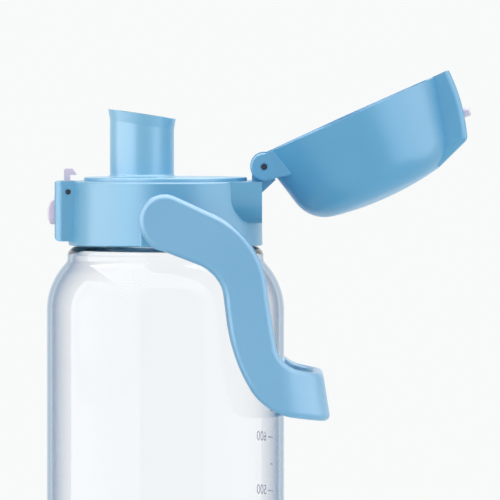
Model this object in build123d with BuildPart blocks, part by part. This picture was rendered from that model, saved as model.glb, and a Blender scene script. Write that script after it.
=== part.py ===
from build123d import *
import os
from math import cos, radians, sin

# Clear wide-mouth drinking bottle with a flip-lid cap, a drinking spout, a push-button
# latch and a swinging carry handle.
# Millimetres. The origin is the middle of the bottle's base, +Z is up, +X points to the
# hinge side (rear), -X to the latch side (front), and Y runs across the handle's arms.
# The lid stands open.

# ---- driving dimensions: bottle ----
bottle_r = 42.5
wall = 1.8
base_corner_r = 6.0
foot_inner_r = 27.0
push_up = 7.0
foot_bevel = 1.4
shoulder_start_h = 166.8
shoulder_r = 24.6
shoulder_top = (36.5, 182.9)
bead_r = 35.1
bead_foot_h = 185.4
bead_top_h = 188.6
bead_round = 2.6
neck_r = 29.6
neck_bore_r = 27.6

# ---- driving dimensions: cap collar ----
collar_top = 213.0
collar_bottom = 190.0
collar_top_r = 34.1
collar_bottom_r = 34.7
collar_bore_r = 31.3
top_plate = 2.2
top_opening_r = 29.3
boss_half = 11.0
boss_face_x = -39.5
boss_foot_h = -21.4
boss_back_x = -28.0
boss_corner_r = 2.8
pad_half = 8.8
pad_face = 37.0
tongue_x = 34.5
tongue_half = 25.0
tongue_foot_h = -14.8
tongue_corner_r = 9.0

# ---- driving dimensions: thread of the cap on the neck ----
thread_pitch = 4.0
thread_depth = 1.2
thread_root = 0.3
thread_foot = 2.0
thread_crest = 0.8
thread_clearance_turns = 0.5
neck_thread_start_h = 198.5
neck_thread_turns = 1.25
cap_thread_turns = 1.0

# ---- driving dimensions: spout deck and gasket ----
deck_r = 31.0
deck_flange = 2.3
deck_skirt_r = 27.2
deck_plate = 2.2
plinth_r = 29.1
plinth_height = 1.4
gasket_r = 31.0
gasket_height = 1.8
gasket_bore_gap = 0.2
spout_x = -8.4
spout_r = 11.45
spout_bore_r = 9.6
spout_height = 23.95
spout_slant = 8.5
spout_foot_r = 1.3
lip_r = 12.25
lip_height = 3.8

# ---- driving dimensions: lid ----
lid_open_angle = 155.7
lid_wall = 2.2
rim_gap = 1.1
crown_r = 111.0
crown_h = 33.5
lid_foot_r = 35.05
lid_lean = 0.2287
lid_corner_h = 29.8
lid_corner_r = 13.0
lid_boss_half = 11.5
lid_boss_edge_r = 2.4
lid_pocket_half = 9.5
pocket_foot_x = -38.0
pocket_back_x = -24.0
pocket_top = (-34.9, 22.5)
catch_x = -32.6

# ---- driving dimensions: hinge ----
hinge_x = 35.24
hinge_h = 5.25
hinge_pin_r = 1.0
running_gap = 0.05
end_gap = 0.3
lid_knuckle_r = 4.97
cap_knuckle_r = 4.6
knuckle_inner = 12.5
knuckle_outer = 18.0
arm_edge_r = 0.8
spring_gap = 5.0
pin_recess = 0.3
pin_chamfer = 0.2
hinge_recess_r = 1.5
hinge_recess_depth = 0.6
lid_spring_r = 2.2
lid_spring_wire_r = 0.4
lid_spring_pitch = 1.2
lid_spring_turns = 6.5
lid_spring_leg = 2.5

# ---- driving dimensions: latch ----
latch_x = -34.6
latch_h = -3.8
latch_pin_r = 0.9
latch_hub_r = 1.95
latch_half = 5.0
latch_side_gap = 0.4
latch_recess_r = 1.25
latch_recess_depth = 0.5
latch_pocket_back = -32.5
window_foot_h = -16.9
window_top_h = -5.0
button_half = 6.6
button_middle_h = -10.4
button_height = 10.6
button_corner_r = 2.6
button_edge_r = 0.6
latch_spring_pitch = 1.1
latch_spring_length = 3.3
latch_spring_r = 1.7
latch_spring_wire_r = 0.25
latch_spring_x = -36.1
latch_spring_h = -11.0

# ---- driving dimensions: lock ----
lock_travel = 4.0
lock_knob_h = 17.0
lock_knob_width = 3.0
lock_knob_length = 3.2
lock_knob_height = 4.7
lock_knob_edge_r = 0.7
lock_slot_width = 3.9
lock_wall_gap = 0.3
lock_plate = 0.8
lock_plate_half = 5.5
lock_plate_length = 14.4
lock_plate_middle = -2.2
keeper_back = 1.0
lock_keeper_length = 12.0
lock_keeper_middle = -2.0

# ---- driving dimensions: stopper ----
stopper_gap = 0.35
stopper_flange_r = 11.2
stopper_flange = 1.4
stopper_plug_r = 9.2
stopper_depth = 3.4
stopper_taper = 16.0
stopper_stem_r = 4.0
stopper_seat = 3.7
holder_rim = 1.0

# ---- driving dimensions: handle and its studs ----
handle_h = -13.3
handle_head_r = 9.26
handle_inner = 37.4
handle_thickness = 4.4
handle_end_x = 57.45
handle_end_h = -75.7
handle_end_lean = 9.2
handle_corner_r = 18.0
handle_edge_r = 2.1
stud_r = 3.0
stud_hole_depth = 3.6
stud_reach = 2.8
stud_chamfer = 0.4
socket_gap = 0.06
socket_end_gap = 0.2


# ---- frames ----
cap_plan = Plane.XY.offset(collar_top)
cap_side = Plane(origin=(0, 0, collar_top), x_dir=(1, 0, 0), z_dir=(0, -1, 0))
cap_front = Plane(origin=(0, 0, collar_top), x_dir=(0, 1, 0), z_dir=(1, 0, 0))
hinge_point = (hinge_x, 0, collar_top + hinge_h)
lid_swing = Location(hinge_point, (0, lid_open_angle, 0)) * Location((-hinge_x, 0, -collar_top - hinge_h))


def on_lid(plane):
    """A plane of the closed lid, carried round the hinge to where the open lid stands."""
    return Plane(lid_swing * plane.location)


def on_arm_edge(edge):
    """True for the outer edges of the lid's hinge arms and for the creases at their roots."""
    middle = lid_plan.to_local_coords(edge @ 0.5)
    outline = middle.X > 29 and abs(middle.Y) > knuckle_outer - 0.1 and middle.Z > rim_gap + 1
    root = 28 < middle.X < 30 and abs(middle.Y) > 15 and edge.geom_type != GeomType.LINE
    return outline or root


def on_boss_outline(edge):
    """True for an edge of the lid's front boss that is neither on the rim nor inside the dome."""
    middle = lid_plan.to_local_coords(edge @ 0.5)
    return middle.X < -22.5 and middle.Z > rim_gap + 1


lid_plan = on_lid(cap_plan)
lid_side = on_lid(cap_side)
lid_axis = Axis(lid_plan.origin, lid_plan.z_dir)
collar_height = collar_top - collar_bottom
cap_knuckle_outer = knuckle_inner - end_gap
cap_thread_start_h = neck_thread_start_h - thread_pitch * thread_clearance_turns
pocket_rise = pocket_top[1] - rim_gap
pocket_run = pocket_top[0] - pocket_foot_x
lock_plane = on_lid(Plane(origin=(pocket_foot_x + pocket_run * (lock_knob_h - rim_gap) / pocket_rise,
                                  0, collar_top + lock_knob_h),
                          x_dir=(0, -1, 0), z_dir=(-pocket_rise, 0, pocket_run)))

os.makedirs("parts", exist_ok=True)


# ---- threads, as solids that are joined to the neck and to the collar ----
with BuildPart() as neck_thread:
    neck_helix = Helix(pitch=thread_pitch, height=thread_pitch * neck_thread_turns,
                       radius=neck_r, center=(0, 0, neck_thread_start_h))
    with BuildSketch(Plane(origin=neck_helix @ 0, x_dir=(1, 0, 0), z_dir=neck_helix % 0)):
        with BuildLine():
            Polyline((-thread_root, -thread_foot / 2), (thread_depth, -thread_crest / 2),
                     (thread_depth, thread_crest / 2), (-thread_root, thread_foot / 2), close=True)
        make_face()
    sweep(path=neck_helix, is_frenet=True)

with BuildPart() as cap_thread:
    cap_helix = Helix(pitch=thread_pitch, height=thread_pitch * cap_thread_turns,
                      radius=collar_bore_r, center=(0, 0, cap_thread_start_h))
    with BuildSketch(Plane(origin=cap_helix @ 0, x_dir=(1, 0, 0), z_dir=cap_helix % 0)):
        with BuildLine():
            Polyline((thread_root, -thread_foot / 2), (-thread_depth, -thread_crest / 2),
                     (-thread_depth, thread_crest / 2), (thread_root, thread_foot / 2), close=True)
        make_face()
    sweep(path=cap_helix, is_frenet=True)


# ---- bottle ----
neck_rim_h = collar_top - top_plate - deck_flange - gasket_height
shoulder_centre = (bottle_r - shoulder_r, shoulder_start_h)
inner_scale = (shoulder_r - wall) / shoulder_r
shoulder_top_inner = (
    shoulder_centre[0] + (shoulder_top[0] - shoulder_centre[0]) * inner_scale,
    shoulder_centre[1] + (shoulder_top[1] - shoulder_centre[1]) * inner_scale,
)
bead_inner_r = bead_r - wall
shelf_inner_h = bead_top_h - wall

with BuildPart() as bottle_body:
    with BuildSketch(Plane.XZ):
        with BuildLine():
            Line((0, push_up), (0, push_up + wall))
            TangentArc((0, push_up + wall), (foot_inner_r - 2, wall + 1.2), tangent=(1, 0))
            Line((foot_inner_r - 2, wall + 1.2), (foot_inner_r + 1, wall))
            Line((foot_inner_r + 1, wall), (bottle_r - base_corner_r, wall))
            RadiusArc((bottle_r - base_corner_r, wall), (bottle_r - wall, base_corner_r),
                      -(base_corner_r - wall))
            Line((bottle_r - wall, base_corner_r), (bottle_r - wall, shoulder_start_h))
            RadiusArc((bottle_r - wall, shoulder_start_h), shoulder_top_inner, -(shoulder_r - wall))
            TangentArc((bead_inner_r, bead_foot_h), shoulder_top_inner, tangent=(0, -1))
            Line((bead_inner_r, bead_foot_h), (bead_inner_r, shelf_inner_h))
            Line((bead_inner_r, shelf_inner_h), (neck_bore_r, shelf_inner_h))
            Line((neck_bore_r, shelf_inner_h), (neck_bore_r, neck_rim_h))
            Line((neck_bore_r, neck_rim_h), (neck_r, neck_rim_h))
            Line((neck_r, neck_rim_h), (neck_r, bead_top_h))
            Line((neck_r, bead_top_h), (bead_r - bead_round, bead_top_h))
            TangentArc((bead_r - bead_round, bead_top_h), (bead_r, bead_top_h - bead_round), tangent=(1, 0))
            Line((bead_r, bead_top_h - bead_round), (bead_r, bead_foot_h))
            TangentArc((bead_r, bead_foot_h), shoulder_top, tangent=(0, -1))
            RadiusArc((bottle_r, shoulder_start_h), shoulder_top, -shoulder_r)
            Line((bottle_r, shoulder_start_h), (bottle_r, base_corner_r))
            RadiusArc((bottle_r - base_corner_r, 0), (bottle_r, base_corner_r), -base_corner_r)
            Line((bottle_r - base_corner_r, 0), (foot_inner_r, 0))
            Line((foot_inner_r, 0), (foot_inner_r - 3, foot_bevel))
            TangentArc((0, push_up), (foot_inner_r - 3, foot_bevel), tangent=(1, 0))
        make_face()
    revolve(axis=Axis.Z)
    add(neck_thread.part)
bottle_body.part.label = "bottle_body"
export_step(bottle_body.part, "parts/bottle_body.step")


# ---- cap collar ----
# Helper solids first: the two bosses are each cut to two outlines.
with BuildPart() as latch_boss:
    with BuildSketch(cap_side) as latch_boss_side:
        with BuildLine():
            Polyline((boss_back_x, boss_foot_h), (boss_face_x, boss_foot_h), (boss_face_x, 0),
                     (boss_back_x, 0), close=True)
        make_face()
        fillet(latch_boss_side.vertices().sort_by_distance((boss_face_x, boss_foot_h))[0], 1.8)
        fillet(latch_boss_side.vertices().sort_by_distance((boss_face_x, 0))[0], 0.7)
    extrude(amount=boss_half, both=True)
    with BuildSketch(cap_plan):
        with Locations((boss_face_x + 10, 0)):
            RectangleRounded(20, 2 * boss_half, boss_corner_r)
    extrude(amount=-30, mode=Mode.INTERSECT)

with BuildPart() as handle_pads:
    with BuildSketch(Plane.XZ.offset(-pad_face)):
        with Locations((0, collar_top + handle_h)):
            Circle(pad_half)
        with Locations((0, (collar_top + handle_h + collar_bottom) / 2)):
            Rectangle(2 * pad_half, collar_top + handle_h - collar_bottom)
    extrude(amount=2 * pad_face)
    fillet(handle_pads.faces().filter_by(Axis.Y).edges(), 0.6)

with BuildPart() as cap_collar:
    with BuildSketch(Plane.XZ) as collar_section:
        with BuildLine():
            Polyline((0, collar_bottom), (collar_bottom_r, collar_bottom),
                     (collar_top_r, collar_top), (0, collar_top), close=True)
        make_face()
        fillet(collar_section.vertices().sort_by_distance((collar_top_r, collar_top))[0], 0.8)
        fillet(collar_section.vertices().sort_by_distance((collar_bottom_r, collar_bottom))[0], 0.5)
    revolve(axis=Axis.Z)
    add(latch_boss.part)
    add(handle_pads.part)
    # flat tongue under the hinge, with a rounded lower edge
    with BuildSketch(cap_front) as tongue_outline:
        with Locations((0, tongue_foot_h / 2)):
            Rectangle(2 * tongue_half, -tongue_foot_h)
        fillet(tongue_outline.vertices().group_by(Axis.Y)[0], tongue_corner_r)
    extrude(amount=tongue_x)
    # two hinge knuckles with a web down to the collar and a stop for the open lid
    for side in (-1, 1):
        middle = side * (cap_knuckle_outer + spring_gap) / 2
        with BuildSketch(cap_side.offset(-middle)):
            with Locations((hinge_x, hinge_h)):
                Circle(cap_knuckle_r)
            with BuildLine():
                Polyline((30.9, -1), (30.9, 4.4), (hinge_x, hinge_h), (38.0, 2.2), (39.3, 0.5),
                         (tongue_x, -4), close=True)
            make_face()
        extrude(amount=(cap_knuckle_outer - spring_gap) / 2, both=True)
    # hollow inside: thread bore, seat of the spout deck, round opening in the top
    with BuildSketch(cap_plan.offset(-collar_height)):
        Circle(collar_bore_r)
    extrude(amount=collar_height - top_plate, mode=Mode.SUBTRACT)
    with BuildSketch(cap_plan):
        Circle(top_opening_r)
    extrude(amount=-top_plate, both=True, mode=Mode.SUBTRACT)
    # pocket for the latch: window for the button, slot for the hook
    with BuildSketch(cap_side):
        with BuildLine():
            Polyline((boss_face_x - 1, window_foot_h), (boss_face_x - 1, window_top_h),
                     (-37.7, window_top_h), (-37.7, 1), (-33.2, 1), (latch_pocket_back, -1.6),
                     (latch_pocket_back, window_foot_h), close=True)
        make_face()
    extrude(amount=latch_half + latch_side_gap, both=True, mode=Mode.SUBTRACT)
    with BuildSketch(cap_side):
        with BuildLine():
            Polyline((boss_face_x - 1, window_foot_h), (boss_face_x - 1, window_top_h),
                     (-37.7, window_top_h), (-37.7, -4.4), (latch_pocket_back, -4.4),
                     (latch_pocket_back, window_foot_h), close=True)
        make_face()
    extrude(amount=button_half + latch_side_gap, both=True, mode=Mode.SUBTRACT)
    # latch pin hole with a recess at each end, then the hinge pin hole
    with BuildSketch(cap_side):
        with Locations((latch_x, latch_h)):
            Circle(latch_pin_r)
    extrude(amount=boss_half + 1, both=True, mode=Mode.SUBTRACT)
    for side in (-1, 1):
        with BuildSketch(cap_side.offset(-side * boss_half)):
            with Locations((latch_x, latch_h)):
                Circle(latch_recess_r)
        extrude(amount=latch_recess_depth, both=True, mode=Mode.SUBTRACT)
        with BuildSketch(cap_side.offset(-side * pad_face)):
            with Locations((0, handle_h)):
                Circle(stud_r)
        extrude(amount=stud_hole_depth, both=True, mode=Mode.SUBTRACT)
    with BuildSketch(cap_side):
        with Locations((hinge_x, hinge_h)):
            Circle(hinge_pin_r)
    extrude(amount=knuckle_outer, both=True, mode=Mode.SUBTRACT)
    add(cap_thread.part)
cap_collar.part.label = "cap_collar"
export_step(cap_collar.part, "parts/cap_collar.step")


# ---- spout deck, gasket ----
spout_mouth = Plane(origin=(spout_x, 0, collar_top + spout_height),
                    x_dir=(cos(radians(spout_slant)), 0, -sin(radians(spout_slant))),
                    z_dir=(sin(radians(spout_slant)), 0, cos(radians(spout_slant))))

with BuildPart() as spout_deck:
    with BuildSketch(cap_plan.offset(-top_plate - deck_flange)):
        Circle(deck_r)
    extrude(amount=deck_flange)
    with BuildSketch(cap_plan.offset(-top_plate)):
        Circle(plinth_r)
    extrude(amount=top_plate + plinth_height)
    with BuildSketch(cap_plan):
        with Locations((spout_x, 0)):
            Circle(spout_r)
    extrude(amount=spout_height + 6)
    spout_foot = spout_deck.edges().filter_by(GeomType.CIRCLE).sort_by_distance(
        (spout_x, 0, collar_top + plinth_height))[0]
    fillet(spout_foot, spout_foot_r)
    rim_edge = spout_deck.edges().filter_by(GeomType.CIRCLE).filter_by(
        lambda e: abs(e.radius - plinth_r) < 0.01).sort_by(Axis.Z)[-1]
    fillet(rim_edge, 0.5)
    # flared lip, then the slanted mouth and the bore
    lip_foot = Plane(origin=(spout_x, 0, collar_top + spout_height - lip_height),
                     x_dir=spout_mouth.x_dir, z_dir=spout_mouth.z_dir)
    with BuildSketch(lip_foot):
        Ellipse(spout_r / cos(radians(spout_slant)), spout_r)
    with BuildSketch(spout_mouth):
        Circle(lip_r)
    loft()
    with BuildSketch(spout_mouth):
        Circle(3 * spout_r)
    extrude(amount=20, mode=Mode.SUBTRACT)
    with BuildSketch(cap_plan.offset(-top_plate - deck_flange)):
        with Locations((spout_x, 0)):
            Circle(spout_bore_r)
    extrude(amount=spout_height + 20, mode=Mode.SUBTRACT)
    # hollow underside, with a skirt at the rim and the spout's wall left standing
    with BuildSketch(cap_plan.offset(-top_plate - deck_flange)):
        Circle(deck_skirt_r)
        with Locations((spout_x, 0)):
            Circle(spout_r, mode=Mode.SUBTRACT)
    extrude(amount=top_plate + deck_flange + plinth_height - deck_plate, mode=Mode.SUBTRACT)
spout_deck.part.label = "spout_deck"
export_step(spout_deck.part, "parts/spout_deck.step")

with BuildPart() as mouth_gasket:
    with BuildSketch(Plane.XY.offset(neck_rim_h)):
        Circle(gasket_r)
        Circle(neck_bore_r + gasket_bore_gap, mode=Mode.SUBTRACT)
    extrude(amount=gasket_height)
mouth_gasket.part.label = "mouth_gasket"
export_step(mouth_gasket.part, "parts/mouth_gasket.step")


# ---- lid ----
lid_corner = (lid_foot_r - lid_lean * (lid_corner_h - rim_gap), lid_corner_h)
cavity_corner = (lid_corner[0] - lid_wall, lid_corner[1] - lid_wall + 0.4)
cavity_foot_h = rim_gap - 3

with BuildPart() as lid_cavity:
    with BuildSketch(lid_side) as cavity_section:
        with BuildLine():
            RadiusArc((0, crown_h - lid_wall), cavity_corner, crown_r)
            Polyline(cavity_corner, (lid_foot_r - lid_wall + lid_lean * 3, cavity_foot_h),
                     (0, cavity_foot_h), (0, crown_h - lid_wall))
        make_face()
        fillet(cavity_section.vertices().sort_by_distance(cavity_corner)[0], lid_corner_r - lid_wall)
    revolve(axis=lid_axis)
    # the stopper's seat under the crown is left standing
    with BuildSketch(on_lid(spout_mouth).offset(stopper_seat)):
        Circle(stopper_flange_r + holder_rim)
    extrude(amount=20, mode=Mode.SUBTRACT)

with BuildPart() as lid_boss:
    with BuildSketch(lid_side) as lid_boss_side:
        with BuildLine():
            Line((-22, rim_gap), (-38.9, rim_gap))
            ThreePointArc((-38.9, rim_gap), (-38.35, 12.6), (-36.0, 22.9))
            Polyline((-36.0, 22.9), (-35.0, 26.2), (-21.5, 31.2), (-22, rim_gap))
        make_face()
        fillet(lid_boss_side.vertices().sort_by_distance((-35.0, 26.2))[0], 3.0)
    extrude(amount=lid_boss_half, both=True)
    fillet(lid_boss.faces().filter_by(Axis.Y).edges().filter_by(on_boss_outline), lid_boss_edge_r)

with BuildPart() as lid_shell:
    with BuildSketch(lid_side) as dome_section:
        with BuildLine():
            RadiusArc((0, crown_h), lid_corner, crown_r)
            Polyline(lid_corner, (lid_foot_r, rim_gap), (0, rim_gap), (0, crown_h))
        make_face()
        fillet(dome_section.vertices().sort_by_distance(lid_corner)[0], lid_corner_r)
    revolve(axis=lid_axis)
    add(lid_boss.part)
    # hinge arms
    for side in (-1, 1):
        middle = side * (knuckle_inner + knuckle_outer) / 2
        with BuildSketch(lid_side.offset(-middle)):
            with Locations((hinge_x, hinge_h)):
                Circle(lid_knuckle_r)
            with BuildLine():
                Polyline((25, rim_gap), (hinge_x - 2.7, rim_gap), (hinge_x, hinge_h),
                         (hinge_x + 0.9, hinge_h + 4.88), (32.0, 10.8), (25, 12.0), close=True)
            make_face()
        extrude(amount=(knuckle_outer - knuckle_inner) / 2, both=True)
    fillet(lid_shell.edges().filter_by(on_arm_edge), arm_edge_r)
    add(lid_cavity.part, mode=Mode.SUBTRACT)
    # room for the cap's knuckles
    with BuildSketch(lid_side):
        with Locations((hinge_x - 1, rim_gap + 3)):
            Rectangle(14, 12.8)
    extrude(amount=knuckle_inner, both=True, mode=Mode.SUBTRACT)
    # pocket behind the front boss, with the catch bar left at its foot
    with BuildSketch(lid_side):
        with BuildLine():
            Polyline((pocket_foot_x, rim_gap - 1), (pocket_foot_x, rim_gap), pocket_top,
                     (pocket_back_x, pocket_top[1]), (pocket_back_x, rim_gap - 1), close=True)
        make_face()
    extrude(amount=lid_pocket_half, both=True, mode=Mode.SUBTRACT)
    with BuildSketch(lid_side):
        with BuildLine():
            Polyline((catch_x, rim_gap), (catch_x, 2.0), (-31.4, 2.0), (-31.4, 6.0), (-30.2, 6.0),
                     (-30.2, rim_gap), close=True)
        make_face()
    extrude(amount=lid_pocket_half + 0.5, both=True)
    # slot of the lock knob
    with BuildSketch(lock_plane):
        with Locations((0, -lock_travel / 2)):
            SlotOverall(lock_travel + lock_slot_width, lock_slot_width, rotation=90)
    extrude(amount=8, mode=Mode.SUBTRACT)
    # pin holes and the recesses at their outer ends
    with BuildSketch(lid_side):
        with Locations((hinge_x, hinge_h)):
            Circle(hinge_pin_r + running_gap)
    extrude(amount=knuckle_outer + 1, both=True, mode=Mode.SUBTRACT)
    for side in (-1, 1):
        with BuildSketch(lid_side.offset(-side * knuckle_outer)):
            with Locations((hinge_x, hinge_h)):
                Circle(hinge_recess_r)
        extrude(amount=hinge_recess_depth, both=True, mode=Mode.SUBTRACT)
lid_shell.part.label = "lid_shell"
export_step(lid_shell.part, "parts/lid_shell.step")


# ---- stopper in the lid ----
lid_mouth = on_lid(spout_mouth)

with BuildPart() as spout_stopper:
    with BuildSketch(lid_mouth.offset(stopper_gap)):
        Circle(stopper_flange_r)
    extrude(amount=stopper_flange)
    with BuildSketch(lid_mouth.offset(stopper_gap)):
        Circle(stopper_plug_r)
    extrude(amount=-stopper_depth, taper=stopper_taper)
    with BuildSketch(lid_mouth.offset(stopper_gap + stopper_flange)):
        Circle(stopper_stem_r)
    extrude(amount=stopper_seat - stopper_gap - stopper_flange)
spout_stopper.part.label = "spout_stopper"
export_step(spout_stopper.part, "parts/spout_stopper.step")

with BuildPart() as stopper_holder:
    with BuildSketch(lid_mouth.offset(stopper_gap + stopper_flange)):
        Circle(stopper_flange_r + holder_rim)
        Circle(stopper_stem_r, mode=Mode.SUBTRACT)
    extrude(amount=stopper_seat - stopper_gap - stopper_flange)
    with BuildSketch(lid_mouth.offset(stopper_gap + stopper_flange)):
        Circle(stopper_flange_r + holder_rim)
        Circle(stopper_flange_r, mode=Mode.SUBTRACT)
    extrude(amount=-stopper_flange + 0.3)
stopper_holder.part.label = "stopper_holder"
export_step(stopper_holder.part, "parts/stopper_holder.step")


# ---- hinge pin and lid spring ----
with BuildPart() as lid_hinge_pin:
    with BuildSketch(cap_side):
        with Locations((hinge_x, hinge_h)):
            Circle(hinge_pin_r)
    extrude(amount=knuckle_outer - pin_recess, both=True)
    chamfer(lid_hinge_pin.edges().filter_by(GeomType.CIRCLE), pin_chamfer)
lid_hinge_pin.part.label = "lid_hinge_pin"
export_step(lid_hinge_pin.part, "parts/lid_hinge_pin.step")

lid_spring_path = Helix(pitch=lid_spring_pitch, height=lid_spring_pitch * lid_spring_turns,
                        radius=lid_spring_r, direction=(0, 1, 0),
                        center=(hinge_x, -lid_spring_pitch * lid_spring_turns / 2,
                                collar_top + hinge_h))
with BuildPart() as lid_spring:
    with BuildSketch(Plane(origin=lid_spring_path @ 0, z_dir=lid_spring_path % 0)):
        Circle(lid_spring_wire_r)
    sweep(path=lid_spring_path, is_frenet=True)
    for end, way in ((0, -1), (1, 1)):
        with BuildSketch(Plane(origin=lid_spring_path @ end, z_dir=lid_spring_path % end)):
            Circle(lid_spring_wire_r)
        extrude(amount=way * lid_spring_leg)
lid_spring.part.label = "lid_spring"
export_step(lid_spring.part, "parts/lid_spring.step")


# ---- latch ----
with BuildPart() as latch_button:
    with BuildSketch(cap_side):
        with BuildLine():
            Polyline((-39.4, -15.4), (-37.4, -15.4), (-36.4, -14.6), (-36.4, -7.0), (-35.6, -5.2),
                     (-38.0, -5.4), (-39.4, -5.5))
            ThreePointArc((-39.4, -5.5), (-42.1, -10.9), (-41.0, -15.4))
            Line((-41.0, -15.4), (-39.4, -15.4))
        make_face()
    extrude(amount=button_half, both=True)
    with BuildSketch(cap_front.offset(-46)):
        with Locations((0, button_middle_h)):
            RectangleRounded(2 * button_half, button_height, button_corner_r)
    extrude(amount=12, mode=Mode.INTERSECT)
    fillet(latch_button.edges().group_by(Axis.X)[0], button_edge_r)

with BuildPart() as latch_lever:
    with BuildSketch(cap_side):
        with BuildLine():
            Polyline((-36.2, 3.9), (-35.7, 4.5), (-33.3, 4.5), (-31.8, 2.7), (-31.8, 2.2),
                     (-34.1, 2.2), (-34.1, -2.2), (-33.6, -7.2), (-36.4, -7.6), (-37.0, -5.2),
                     (-36.2, -2.0), close=True)
        make_face()
        with Locations((latch_x, latch_h)):
            Circle(latch_hub_r)
    extrude(amount=latch_half, both=True)
    add(latch_button.part)
    with BuildSketch(cap_side):
        with Locations((latch_x, latch_h)):
            Circle(latch_pin_r + running_gap)
    extrude(amount=latch_half + 3, both=True, mode=Mode.SUBTRACT)
latch_lever.part.label = "latch_lever"
export_step(latch_lever.part, "parts/latch_lever.step")

with BuildPart() as latch_pin:
    with BuildSketch(cap_side):
        with Locations((latch_x, latch_h)):
            Circle(latch_pin_r)
    extrude(amount=boss_half - pin_recess, both=True)
    chamfer(latch_pin.edges().filter_by(GeomType.CIRCLE), pin_chamfer)
latch_pin.part.label = "latch_pin"
export_step(latch_pin.part, "parts/latch_pin.step")

latch_spring_path = Helix(pitch=latch_spring_pitch, height=latch_spring_length,
                          radius=latch_spring_r, direction=(1, 0, 0),
                          center=(latch_spring_x, 0, collar_top + latch_spring_h))
with BuildPart() as latch_spring:
    with BuildSketch(Plane(origin=latch_spring_path @ 0, z_dir=latch_spring_path % 0)):
        Circle(latch_spring_wire_r)
    sweep(path=latch_spring_path, is_frenet=True)
latch_spring.part.label = "latch_spring"
export_step(latch_spring.part, "parts/latch_spring.step")


# ---- lock slider in the lid's front boss ----
with BuildPart() as lock_slider:
    # plate behind the wall, long enough to cover the slot at both ends of its travel
    with BuildSketch(lock_plane.offset(-lock_wall_gap)):
        with Locations((0, lock_plate_middle)):
            RectangleRounded(2 * lock_plate_half, lock_plate_length, 0.8)
    extrude(amount=-lock_plate)
    with BuildSketch(lock_plane.offset(-lock_wall_gap)):
        SlotOverall(lock_knob_length, lock_knob_width, rotation=90)
    extrude(amount=lock_knob_height)
    knob_top = lock_plane.offset(lock_knob_height - lock_wall_gap).origin
    fillet(lock_slider.edges().sort_by_distance(knob_top)[0:3], lock_knob_edge_r)
lock_slider.part.label = "lock_slider"
export_step(lock_slider.part, "parts/lock_slider.step")

keeper_plane = lock_plane.offset(-lock_plate - 2 * lock_wall_gap)
keeper_rail = lid_pocket_half - lock_plate_half - lock_wall_gap

with BuildPart() as lock_keeper:
    with BuildSketch(keeper_plane):
        with Locations((0, lock_keeper_middle)):
            Rectangle(2 * lid_pocket_half, lock_keeper_length)
    extrude(amount=-keeper_back)
    for side in (-1, 1):
        with BuildSketch(keeper_plane):
            with Locations((side * (lid_pocket_half - keeper_rail / 2), lock_keeper_middle)):
                Rectangle(keeper_rail, lock_keeper_length)
        extrude(amount=lock_plate + lock_wall_gap)
lock_keeper.part.label = "lock_keeper"
export_step(lock_keeper.part, "parts/lock_keeper.step")


# ---- carry handle ----
with BuildPart() as carry_handle:
    with BuildSketch(cap_side):
        with BuildLine():
            head = ThreePointArc((-handle_head_r, handle_h),
                                 (-handle_head_r * sin(radians(35)),
                                  handle_h + handle_head_r * cos(radians(35))), (3.9, -4.9))
            shoulder_line = Line(head @ 1, (18.0, -11.4))
            upper_bend = TangentArc(shoulder_line @ 1, (36.1, -36.1), tangent=shoulder_line % 1)
            upper_back = TangentArc(upper_bend @ 1, (39.3, -57.5), tangent=upper_bend % 1)
            upper_turn = TangentArc(upper_back @ 1, (48.0, -66.6), tangent=upper_back % 1)
            Polyline(upper_turn @ 1, (64.0, -69.4), (64.0, -85.9), (46.0, -83.4))
            lower_turn = TangentArc((46.0, -83.4), (30.0, -72.8), tangent=(-1, 0.14))
            lower_back = TangentArc(lower_turn @ 1, (22.6, -52.0), tangent=lower_turn % 1)
            lower_rise = TangentArc(lower_back @ 1, (21.3, -41.6), tangent=lower_back % 1)
            lower_bend = TangentArc(lower_rise @ 1, (11.5, -28.9), tangent=lower_rise % 1)
            Line(lower_bend @ 1, (-4.6, -22.7))
            ThreePointArc((-4.6, -22.7), (-7.9, -18.6), (-handle_head_r, handle_h))
        make_face()
    extrude(amount=50, both=True)
    # the band bends round behind the bottle; the end leans out towards its lower edge
    with BuildSketch(cap_plan.offset(handle_end_h)) as handle_plan:
        with Locations((handle_end_x / 2 - 15, 0)):
            Rectangle(handle_end_x + 30, 2 * (handle_inner + handle_thickness))
        fillet(handle_plan.vertices().group_by(Axis.X)[-1], handle_corner_r)
        offset_plan = offset(handle_plan.sketch, amount=-handle_thickness, mode=Mode.PRIVATE)
        add(offset_plan, mode=Mode.SUBTRACT)
    extrude(amount=90, dir=(-sin(radians(handle_end_lean)), 0, cos(radians(handle_end_lean))),
            both=True, mode=Mode.INTERSECT)
    fillet(carry_handle.edges(), handle_edge_r)
    # blind sockets for the pivot studs, both cut by one cylinder across the gap
    with BuildSketch(cap_side):
        with Locations((0, handle_h)):
            Circle(stud_r + socket_gap)
    extrude(amount=handle_inner + stud_reach + socket_end_gap, both=True, mode=Mode.SUBTRACT)
carry_handle.part.label = "carry_handle"
export_step(carry_handle.part, "parts/carry_handle.step")

for side, name in ((-1, "handle_stud_left"), (1, "handle_stud_right")):
    with BuildPart() as handle_stud:
        with BuildSketch(cap_side.offset(-side * (pad_face - stud_hole_depth))):
            with Locations((0, handle_h)):
                Circle(stud_r)
        extrude(amount=-side * (stud_hole_depth + handle_inner - pad_face + stud_reach))
        outer_edge = handle_stud.edges().filter_by(GeomType.CIRCLE).sort_by(Axis.Y)[-1 if side > 0 else 0]
        chamfer(outer_edge, stud_chamfer)
    handle_stud.part.label = name
    export_step(handle_stud.part, f"parts/{name}.step")
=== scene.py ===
from math import atan2, cos, hypot, pi, radians, sin

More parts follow.
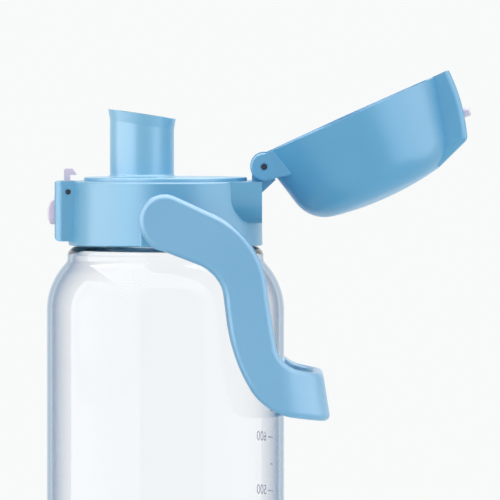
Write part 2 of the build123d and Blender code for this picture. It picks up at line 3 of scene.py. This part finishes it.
import bpy
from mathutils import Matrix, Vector


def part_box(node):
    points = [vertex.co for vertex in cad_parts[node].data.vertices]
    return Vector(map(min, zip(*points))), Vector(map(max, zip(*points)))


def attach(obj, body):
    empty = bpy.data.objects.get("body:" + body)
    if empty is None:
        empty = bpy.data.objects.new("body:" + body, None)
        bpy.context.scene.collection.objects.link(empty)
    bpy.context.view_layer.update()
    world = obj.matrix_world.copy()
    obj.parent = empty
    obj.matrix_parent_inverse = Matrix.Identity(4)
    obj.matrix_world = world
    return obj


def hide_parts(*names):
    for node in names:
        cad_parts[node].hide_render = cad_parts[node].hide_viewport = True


# Clear drinking bottle with a flip-lid cap, seen from the side with its lid open.
# Metres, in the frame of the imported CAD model: +Z up, +X towards the hinge, -Y towards the camera.

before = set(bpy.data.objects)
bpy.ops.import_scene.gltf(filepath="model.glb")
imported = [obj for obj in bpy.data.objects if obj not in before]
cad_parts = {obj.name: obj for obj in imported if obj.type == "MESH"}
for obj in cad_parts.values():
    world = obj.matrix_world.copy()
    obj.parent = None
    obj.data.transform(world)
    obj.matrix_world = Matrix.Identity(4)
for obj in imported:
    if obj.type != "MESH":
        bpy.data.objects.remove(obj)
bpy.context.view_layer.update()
MM = 0.001

# ---- sizes ----
bottle_low, bottle_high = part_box("bottle_body")
bottle_r = bottle_high.x
neck_rim_z = bottle_high.z
collar_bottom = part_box("cap_collar")[0].z
collar_height = 23 * MM
wall = 1.8 * MM
base_corner_r = 6 * MM
foot_r = 27 * MM
inner_foot_r = foot_r + 1 * MM
push_up = 7 * MM
foot_edge = (foot_r - 3 * MM, 1.4 * MM)
shoulder_start = 166.8 * MM
shoulder_r = 24.6 * MM
shoulder_top = (36.5 * MM, 182.9 * MM)
bead_r = 35.1 * MM
bead_foot = 185.2 * MM
bead_top = collar_bottom - 0.3 * MM
bead_round = 3.4 * MM
neck_r = 29.6 * MM
neck_bore_r = 27.6 * MM
rim_round = 0.4 * MM
thread_start = 198.5 * MM
thread_pitch = 4 * MM
thread_turns = 1.25
thread_depth = 1.2 * MM
thread_half_width = 1.05 * MM
thread_flank = 0.6 * MM
thread_run_out = 0.35  # radians over which the thread rises and falls away
thread_clearance = 1 * MM


# ---- mesh helpers ----
def link(name, mesh, material, body):
    """A new piece on a CAD body, with its material."""
    piece = bpy.data.objects.new(name, mesh)
    bpy.context.scene.collection.objects.link(piece)
    mesh.materials.append(material)
    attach(piece, body)
    return piece


def arc(centre, radius, start, end, steps):
    """Points of a circular arc in a profile, angles in degrees from the outward direction."""
    return [(centre[0] + radius * cos(radians(start + (end - start) * i / steps)),
             centre[1] + radius * sin(radians(start + (end - start) * i / steps)))
            for i in range(steps + 1)]


def bend(start, leave, end, arrive, steps):
    """Points of a smooth cubic from start to end that leaves and arrives in given directions."""
    span = hypot(end[0] - start[0], end[1] - start[1])
    points = []
    for i in range(steps + 1):
        t = i / steps
        a, b = 2 * t**3 - 3 * t**2 + 1, t**3 - 2 * t**2 + t
        c, d = -2 * t**3 + 3 * t**2, t**3 - t**2
        points.append(tuple(a * start[k] + b * span * leave[k] + c * end[k] + d * span * arrive[k]
                            for k in (0, 1)))
    return points


def line(start, end, steps):
    """Points of a straight stretch of a profile, without its first."""
    return [(start[0] + (end[0] - start[0]) * i / steps, start[1] + (end[1] - start[1]) * i / steps)
            for i in range(1, steps + 1)]


def lathe(name, profile, segments=192, bulge=None, sharp=40):
    """A closed solid of revolution about Z. bulge(angle, radius, height) may push a point outwards."""
    vertices, faces, rows = [], [], []
    for r, z in profile:
        if r < 1e-6:
            rows.append([len(vertices)] * segments)
            vertices.append((0, 0, z))
            continue
        rows.append(list(range(len(vertices), len(vertices) + segments)))
        for i in range(segments):
            angle = 2 * pi * i / segments
            out = r + (bulge(angle, r, z) if bulge else 0)
            vertices.append((out * cos(angle), out * sin(angle), z))
    closed = profile[0][0] > 1e-6
    pairs = list(zip(rows, rows[1:] + rows[:1])) if closed else list(zip(rows, rows[1:]))
    for low, high in pairs:
        for i in range(segments):
            j = (i + 1) % segments
            face = [low[i], low[j], high[j], high[i]]
            face = [v for k, v in enumerate(face) if v != face[k - 1]]
            if len(face) > 2:
                faces.append(face)
    mesh = bpy.data.meshes.new(name)
    mesh.from_pydata(vertices, [], faces)
    mesh.validate()
    mesh.shade_smooth()
    mesh.set_sharp_from_angle(angle=radians(sharp))
    return mesh


# ---- materials ----
def node_material(name):
    """An empty node material: its node tree, its shader and a function that adds a node."""
    material = bpy.data.materials.new(name)
    material.use_nodes = True
    tree = material.node_tree
    shader = tree.nodes["Principled BSDF"]

    def add(kind, **values):
        node = tree.nodes.new(kind)
        for key, value in values.items():
            setattr(node, key, value)
        return node

    return material, tree, shader, add


def srgb(red, green, blue):
    """A screen colour, 0 to 255, as the linear colour that the shaders take."""
    return tuple((c / 255 / 12.92 if c <= 10 else ((c / 255 + 0.055) / 1.055) ** 2.4)
                 for c in (red, green, blue)) + (1,)


def noise(tree, add, scale, detail=3):
    """Noise in the object's own space; scale is in cells per metre."""
    place = add("ShaderNodeTexCoord")
    texture = add("ShaderNodeTexNoise")
    texture.inputs["Scale"].default_value = scale
    texture.inputs["Detail"].default_value = detail
    tree.links.new(place.outputs["Object"], texture.inputs["Vector"])
    return texture.outputs["Fac"]


def ramp(tree, add, source, low, high):
    """Maps a 0.3 to 0.7 noise to the range low to high."""
    mapped = add("ShaderNodeMapRange")
    mapped.inputs["From Min"].default_value = 0.3
    mapped.inputs["From Max"].default_value = 0.7
    mapped.inputs["To Min"].default_value = low
    mapped.inputs["To Max"].default_value = high
    tree.links.new(source, mapped.inputs["Value"])
    return mapped.outputs["Result"]


def uneven_colour(tree, add, shader, source, colour, deep):
    """A base colour that drifts between two close shades with a noise."""
    mix = add("ShaderNodeMix", data_type="RGBA")
    mix.inputs["A"].default_value = colour
    mix.inputs["B"].default_value = deep
    tree.links.new(ramp(tree, add, source, 0, 1), mix.inputs["Factor"])
    tree.links.new(mix.outputs["Result"], shader.inputs["Base Color"])


def uneven_gloss(tree, add, shader, source, low, high):
    """A roughness that drifts from low to high with a noise."""
    tree.links.new(ramp(tree, add, source, low, high), shader.inputs["Roughness"])


def fine_relief(tree, add, shader, source, strength, depth):
    """A surface relief from a noise."""
    bump = add("ShaderNodeBump")
    bump.inputs["Strength"].default_value = strength
    bump.inputs["Distance"].default_value = depth
    tree.links.new(source, bump.inputs["Height"])
    tree.links.new(bump.outputs["Normal"], shader.inputs["Normal"])


def plastic(name, colour, deep, roughness=0.33, glow=0.1):
    """Injection-moulded plastic: a slightly uneven colour, a fine moulded skin and a soft gloss."""
    material, tree, shader, add = node_material(name)
    uneven_colour(tree, add, shader, noise(tree, add, 30), colour, deep)
    uneven_gloss(tree, add, shader, noise(tree, add, 500), roughness - 0.03, roughness + 0.04)
    fine_relief(tree, add, shader, noise(tree, add, 5000, 2), 0.03, 0.01 * MM)
    shader.inputs["IOR"].default_value = 1.54
    shader.inputs["Subsurface Weight"].default_value = glow
    shader.inputs["Subsurface Radius"].default_value = (0.6, 0.9, 1.0)
    shader.inputs["Subsurface Scale"].default_value = 1.5 * MM
    return material


def clear_plastic(name):
    """Clear copolyester: polished, a little uneven from the mould, with painted shade that darkens its
    colour towards the edges it shows side-on.
    """
    material, tree, shader, add = node_material(name)
    # Painted shade: the colour turns dark blue where the surface is seen side-on, standing in for the
    # dark bands along the clear wall's edges.
    edge = add("ShaderNodeLayerWeight")
    edge.inputs["Blend"].default_value = 0.5
    edge_shade_ramp = add("ShaderNodeMapRange")
    edge_shade_ramp.inputs["From Min"].default_value = 0.2
    edge_shade_ramp.inputs["From Max"].default_value = 0.78
    tree.links.new(edge.outputs["Facing"], edge_shade_ramp.inputs["Value"])
    edge_shade_curve = add("ShaderNodeMath", operation="POWER")
    edge_shade_curve.inputs[1].default_value = 2.2
    tree.links.new(edge_shade_ramp.outputs["Result"], edge_shade_curve.inputs[0])
    edge_shade_tint = add("ShaderNodeMix", data_type="RGBA")
    edge_shade_tint.inputs["A"].default_value = (0.985, 0.99, 1, 1)
    edge_shade_tint.inputs["B"].default_value = (0.02, 0.12, 0.3, 1)
    tree.links.new(edge_shade_curve.outputs["Value"], edge_shade_tint.inputs["Factor"])
    tree.links.new(edge_shade_tint.outputs["Result"], shader.inputs["Base Color"])
    shader.inputs["Transmission Weight"].default_value = 1
    shader.inputs["Specular Tint"].default_value = (0.2, 0.22, 0.25, 1)
    shader.inputs["IOR"].default_value = 1.42
    uneven_gloss(tree, add, shader, noise(tree, add, 160), 0.0, 0.02)
    fine_relief(tree, add, shader, noise(tree, add, 45, 2), 0.15, 0.03 * MM)
    volume = add("ShaderNodeVolumeAbsorption")
    volume.inputs["Color"].default_value = (0.25, 0.36, 0.48, 1)
    volume.inputs["Density"].default_value = 6
    tree.links.new(volume.outputs["Volume"], tree.nodes["Material Output"].inputs["Volume"])
    return material


def silicone(name, colour, deep):
    """Satin silicone rubber, milky, with a fine bloom of dust on it."""
    material, tree, shader, add = node_material(name)
    uneven_colour(tree, add, shader, noise(tree, add, 120, 5), colour, deep)
    uneven_gloss(tree, add, shader, noise(tree, add, 900), 0.42, 0.6)
    shader.inputs["Subsurface Weight"].default_value = 0.4
    shader.inputs["Subsurface Radius"].default_value = (1, 1, 1)
    shader.inputs["Subsurface Scale"].default_value = 2 * MM
    shader.inputs["Sheen Weight"].default_value = 0.15
    fine_relief(tree, add, shader, noise(tree, add, 1800), 0.2, 0.03 * MM)
    return material


def steel(name):
    """Dark drawn wire: fine lines along Y, the pins' length, and a slightly uneven polish."""
    material, tree, shader, add = node_material(name)
    place = add("ShaderNodeTexCoord")
    stretch = add("ShaderNodeMapping")
    stretch.inputs["Scale"].default_value = (6000, 150, 6000)
    lines = add("ShaderNodeTexNoise")
    lines.inputs["Scale"].default_value = 1
    tree.links.new(place.outputs["Object"], stretch.inputs["Vector"])
    tree.links.new(stretch.outputs["Vector"], lines.inputs["Vector"])
    drawn = lines.outputs["Fac"]
    uneven_colour(tree, add, shader, drawn, srgb(74, 76, 80), srgb(54, 56, 60))
    uneven_gloss(tree, add, shader, drawn, 0.22, 0.4)
    fine_relief(tree, add, shader, drawn, 0.15, 0.01 * MM)
    shader.inputs["Metallic"].default_value = 1
    return material


def ink(name):
    """Matt printing ink, a little patchy."""
    material, tree, shader, add = node_material(name)
    uneven_colour(tree, add, shader, noise(tree, add, 1500, 4), srgb(160, 164, 205),
                  srgb(182, 186, 218))
    uneven_gloss(tree, add, shader, noise(tree, add, 900), 0.4, 0.6)
    return material


lid_blue = plastic("lid_plastic", srgb(98, 174, 217), srgb(93, 170, 214))
collar_blue = plastic("collar_plastic", srgb(107, 179, 217), srgb(102, 175, 214))
spout_blue = plastic("spout_plastic", srgb(136, 197, 229), srgb(130, 193, 226))
handle_blue = plastic("handle_plastic", srgb(127, 187, 226), srgb(122, 183, 223))
lavender = plastic("latch_plastic", srgb(236, 220, 238), srgb(230, 214, 234), 0.32)
seal = silicone("seal_silicone", srgb(222, 228, 233), srgb(210, 218, 225))
pin_steel = steel("drawn_steel")
clear = clear_plastic("clear_copolyester")

finishes = {
    "cap_collar": collar_blue, "spout_deck": spout_blue, "lid_shell": lid_blue,
    "stopper_holder": lid_blue, "lock_keeper": lid_blue, "carry_handle": handle_blue,
    "handle_stud_left": handle_blue, "handle_stud_right": handle_blue,
    "latch_lever": lavender, "lock_slider": lavender, "spout_stopper": seal, "mouth_gasket": seal,
    "lid_hinge_pin": pin_steel, "latch_pin": pin_steel, "lid_spring": pin_steel,
    "latch_spring": pin_steel,
}
for node, material in finishes.items():
    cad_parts[node].material_slots[0].link = "OBJECT"
    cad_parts[node].material_slots[0].material = material


# ---- clear bottle with its neck thread ----
def bottle_profile():
    """The bottle's section: out along the base, up the outside, over the rim and down the inside."""
    centre = (bottle_r - shoulder_r, shoulder_start)
    top_angle = atan2(shoulder_top[1] - centre[1], shoulder_top[0] - centre[0]) * 180 / pi
    inner_top = tuple(centre[k] + (shoulder_top[k] - centre[k]) * (1 - wall / shoulder_r)
                      for k in (0, 1))
    fall = (sin(radians(top_angle)), -cos(radians(top_angle)))
    rise = (-fall[0], -fall[1])
    points = bend((0, push_up), (1, 0), foot_edge, (0.94, -0.34), 20)
    points += line(foot_edge, (foot_r, 0), 2)
    points += line((foot_r, 0), (bottle_r - base_corner_r, 0), 4)
    points += arc((bottle_r - base_corner_r, base_corner_r), base_corner_r, -90, 0, 12)[1:]
    points += line((bottle_r, base_corner_r), (bottle_r, shoulder_start), 60)
    points += arc(centre, shoulder_r, 0, top_angle, 24)[1:]
    points += bend(shoulder_top, rise, (bead_r, bead_foot), (0, 1), 8)[1:]
    points += line((bead_r, bead_foot), (bead_r, bead_top - bead_round), 2)
    points += arc((bead_r - bead_round, bead_top - bead_round), bead_round, 0, 90, 8)[1:]
    points += line((bead_r - bead_round, bead_top), (neck_r, bead_top), 2)
    points += line((neck_r, bead_top), (neck_r, neck_rim_z - rim_round), 80)
    points += arc((neck_r - rim_round, neck_rim_z - rim_round), rim_round, 0, 90, 4)[1:]
    points += arc((neck_bore_r + rim_round, neck_rim_z - rim_round), rim_round, 90, 180, 4)
    points += line((neck_bore_r, neck_rim_z - rim_round), (neck_bore_r, bead_top - wall), 12)
    points += line((neck_bore_r, bead_top - wall), (bead_r - wall, bead_top - wall), 3)
    points += line((bead_r - wall, bead_top - wall), (bead_r - wall, bead_foot), 2)
    points += bend((bead_r - wall, bead_foot), (0, -1), inner_top, fall, 8)[1:]
    points += arc(centre, shoulder_r - wall, top_angle, 0, 24)[1:]
    points += line((bottle_r - wall, shoulder_start), (bottle_r - wall, base_corner_r), 60)
    points += arc((bottle_r - base_corner_r, base_corner_r), base_corner_r - wall, 0, -90, 12)[1:]
    points += line((bottle_r - base_corner_r, wall), (inner_foot_r, wall), 4)
    points += bend((inner_foot_r, wall), (-1, 0.05), (0, push_up + wall), (-1, 0), 20)[1:]
    return points


def neck_thread(angle, radius, height):
    """How far the helical thread stands out from the neck at an angle and a height."""
    if abs(radius - neck_r) > 0.01 * MM or height < bead_top + thread_clearance:
        return 0
    best, full = 0, 2 * pi * thread_turns
    for turn in range(int(thread_turns) + 2):
        turned = angle + 2 * pi * turn
        if turned > full:
            continue
        ends = min(1, turned / thread_run_out, (full - turned) / thread_run_out)
        away = abs(height - thread_start - thread_pitch * turned / (2 * pi))
        flank = (thread_half_width - away) / thread_flank
        best = max(best, ends * min(1, max(0, flank)))
    return thread_depth * best * best * (3 - 2 * best)


bottle = link("bottle", lathe("bottle", bottle_profile(), 224, neck_thread), clear, "bottle")
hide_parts("bottle_body")


# ---- printed volume scale on the bottle ----
# The scale is on the far wall, so it is seen mirrored, through the bottle.
ink_lift = 0.04 * MM
scale_angle = 30  # degrees round from +X
scale_floor = 5.5 * MM
cubic_metres_in_litre = 0.001
litre_height = cubic_metres_in_litre / (pi * (bottle_r - wall) ** 2)
tick_ml = 50
ticks_in_litre = 1000 // tick_ml
first_tick, last_tick = 2, 16
unit_level = 16.9
tick_left = -9 * MM
tick_half_width = 0.2 * MM
major_tick, minor_tick = 5.5 * MM, 3 * MM
words_left = -2.2 * MM
font_size = 1.45 * 3.4 * MM  # for digits 3.4 mm high
strip_step = 0.6 * MM


def wrap(x, z):
    """A point of the flat print, x along the wall from the scale's middle line, laid on the wall."""
    angle = radians(scale_angle) + x / bottle_r
    return ((bottle_r + ink_lift) * cos(angle), (bottle_r + ink_lift) * sin(angle), z)


def print_strip(vertices, faces, x0, x1, z0, z1):
    """A straight printed bar as a strip of small faces that follows the wall."""
    steps = max(2, int((x1 - x0) / strip_step))
    first = len(vertices)
    for i in range(steps + 1):
        x = x0 + (x1 - x0) * i / steps
        vertices += [wrap(x, z0), wrap(x, z1)]
    faces += [(first + 2 * i, first + 2 * i + 2, first + 2 * i + 3, first + 2 * i + 1)
              for i in range(steps)]


def printed_text(vertices, faces, words, x, z):
    """Words laid on the wall, their left edge at x and their middle at height z."""
    curve = bpy.data.curves.new("words", "FONT")
    curve.body = words
    curve.size = font_size
    curve.align_y = "CENTER"
    holder = bpy.data.objects.new("words", curve)
    bpy.context.scene.collection.objects.link(holder)
    bpy.context.view_layer.update()
    flat = holder.evaluated_get(bpy.context.evaluated_depsgraph_get()).to_mesh()
    first = len(vertices)
    vertices += [wrap(x + v.co.x, z + v.co.y) for v in flat.vertices]
    faces += [tuple(first + i for i in polygon.vertices) for polygon in flat.polygons]
    bpy.data.objects.remove(holder)


def scale_print():
    """A tick every 50 ml, with its number at every other one, and the unit above them."""
    vertices, faces = [], []
    for level in range(first_tick, last_tick + 1):
        height = scale_floor + litre_height * level / ticks_in_litre
        numbered = level % 2 == 0
        tick_right = tick_left + (major_tick if numbered else minor_tick)
        print_strip(vertices, faces, tick_left, tick_right,
                    height - tick_half_width, height + tick_half_width)
        if numbered:
            printed_text(vertices, faces, str(level * tick_ml), words_left, height)
    unit_height = scale_floor + litre_height * unit_level / ticks_in_litre
    printed_text(vertices, faces, "ml", words_left, unit_height)
    mesh = bpy.data.meshes.new("volume_scale")
    mesh.from_pydata(vertices, [], faces)
    return mesh


link("volume_scale", scale_print(), ink("scale_ink"), "bottle")


# ---- stage ----
floor_r, floor_sides, floor_gap = 1.15, 96, 0.05 * MM
fade_start, fade_end = 0.35, 1.1
panel_distance = 2.5
# A panel is its name, its direction from the bottle, its width and height, and its radiance.
panels = [
    ("left", (-0.9, -0.44, 0), 4.2, 4.6, 4.8),
    ("right", (0.95, -0.3, 0.3), 3.6, 3.4, 2.8),
    ("above", (0, -0.1, 1), 4.4, 4.4, 6),
]
# How bright the background is when seen directly and when seen through clear plastic.
backdrop_strength = 0.955
through_strength = 0.94


def stage_floor():
    """A round pale floor that fades out at its edge."""
    material, tree, shader, add = node_material("floor")
    shader.inputs["Base Color"].default_value = srgb(246, 248, 247)
    shader.inputs["Roughness"].default_value = 0.75
    place = add("ShaderNodeTexCoord")
    length = add("ShaderNodeVectorMath", operation="LENGTH")
    fade = add("ShaderNodeMapRange", interpolation_type="SMOOTHSTEP")
    fade.inputs["From Min"].default_value = fade_start
    fade.inputs["From Max"].default_value = fade_end
    fade.inputs["To Min"].default_value = 1
    fade.inputs["To Max"].default_value = 0
    tree.links.new(place.outputs["Object"], length.inputs[0])
    tree.links.new(length.outputs["Value"], fade.inputs["Value"])
    tree.links.new(fade.outputs["Result"], shader.inputs["Alpha"])
    mesh = bpy.data.meshes.new("floor")
    angles = [2 * pi * i / floor_sides for i in range(floor_sides)]
    ring = [(floor_r * cos(angle), floor_r * sin(angle), 0) for angle in angles]
    mesh.from_pydata(ring, [], [tuple(range(floor_sides))])
    floor = bpy.data.objects.new("floor", mesh)
    floor.location.z = bottle_low.z - floor_gap
    mesh.materials.append(material)
    bpy.context.scene.collection.objects.link(floor)


def panel(name, direction, width, height, radiance):
    """A large soft panel in a direction from the bottle, its sides in metres. Only gloss shows it."""
    data = bpy.data.lights.new(name, "AREA")
    data.shape = "RECTANGLE"
    data.size, data.size_y = width, height
    data.energy = radiance * pi * width * height
    light = bpy.data.objects.new(name, data)
    away = Vector(direction).normalized()
    light.location = away * panel_distance
    light.rotation_euler = away.to_track_quat("Z", "Y").to_euler()
    light.visible_camera = False
    light.visible_diffuse = False
    light.visible_transmission = False
    bpy.context.scene.collection.objects.link(light)


def studio():
    """Soft light all round, a pale background, and large panels for the gloss."""
    world = bpy.data.worlds.new("studio")
    bpy.context.scene.world = world
    world.use_nodes = True
    world.cycles.sampling_method = "NONE"
    tree = world.node_tree
    place = tree.nodes.new("ShaderNodeTexCoord")
    path = tree.nodes.new("ShaderNodeLightPath")
    background = tree.nodes["Background"]

    def toward(direction):
        """The cosine between the direction looked in and a given one."""
        dot = tree.nodes.new("ShaderNodeVectorMath")
        dot.operation = "DOT_PRODUCT"
        dot.inputs[1].default_value = Vector(direction).normalized()
        tree.links.new(place.outputs["Generated"], dot.inputs[0])
        return dot.outputs["Value"]

    def spread(source, start, end, low, high):
        """A smooth step of a direction's cosine into a brightness."""
        step = tree.nodes.new("ShaderNodeMapRange")
        step.interpolation_type = "SMOOTHSTEP"
        for key, value in (("From Min", start), ("From Max", end), ("To Min", low), ("To Max", high)):
            step.inputs[key].default_value = value
        tree.links.new(source, step.inputs["Value"])
        return step.outputs["Result"]

    def choose(factor, when_off, when_on):
        """One brightness where a ray is of a kind and another where it isn't."""
        mix = tree.nodes.new("ShaderNodeMix")
        mix.data_type = "FLOAT"
        tree.links.new(factor, mix.inputs["Factor"])
        tree.links.new(when_off, mix.inputs["A"])
        tree.links.new(when_on, mix.inputs["B"])
        return mix.outputs["Result"]

    soft = spread(toward((0.1, 0, 1)), -1, 1, 0.66, 0.86)
    gloss = spread(toward((0, 1, 0)), -0.3, 0.7, 0.8, 1.15)
    backdrop = tree.nodes.new("ShaderNodeValue")
    backdrop.outputs["Value"].default_value = backdrop_strength
    through = tree.nodes.new("ShaderNodeValue")
    through.outputs["Value"].default_value = through_strength
    lit = choose(path.outputs["Is Glossy Ray"], soft, gloss)
    lit = choose(path.outputs["Is Transmission Ray"], lit, through.outputs["Value"])
    strength = choose(path.outputs["Is Camera Ray"], lit, backdrop.outputs["Value"])
    background.inputs["Color"].default_value = (0.985, 1, 0.995, 1)
    tree.links.new(strength, background.inputs["Strength"])
    for settings in panels:
        panel(*settings)


def camera():
    """A long lens level with the cap, a little above it."""
    data = bpy.data.cameras.new("camera")
    distance, view_width, rise = 4.0, 178.7 * MM, radians(1.3)
    aim_x, below_collar_top = 30.2 * MM, 24.7 * MM
    centre = Vector((aim_x, 0, collar_bottom + collar_height - below_collar_top))
    data.sensor_width = 36
    data.lens = data.sensor_width * distance / view_width
    data.clip_start, data.clip_end = 0.1, 50
    view = bpy.data.objects.new("camera", data)
    away = Vector((0, -cos(rise), sin(rise)))
    view.location = centre + away * distance
    view.rotation_euler = (-away).to_track_quat("-Z", "Y").to_euler()
    bpy.context.scene.collection.objects.link(view)
    bpy.context.scene.camera = view


stage_floor()
studio()
camera()
bpy.context.scene.view_settings.view_transform = "Standard"
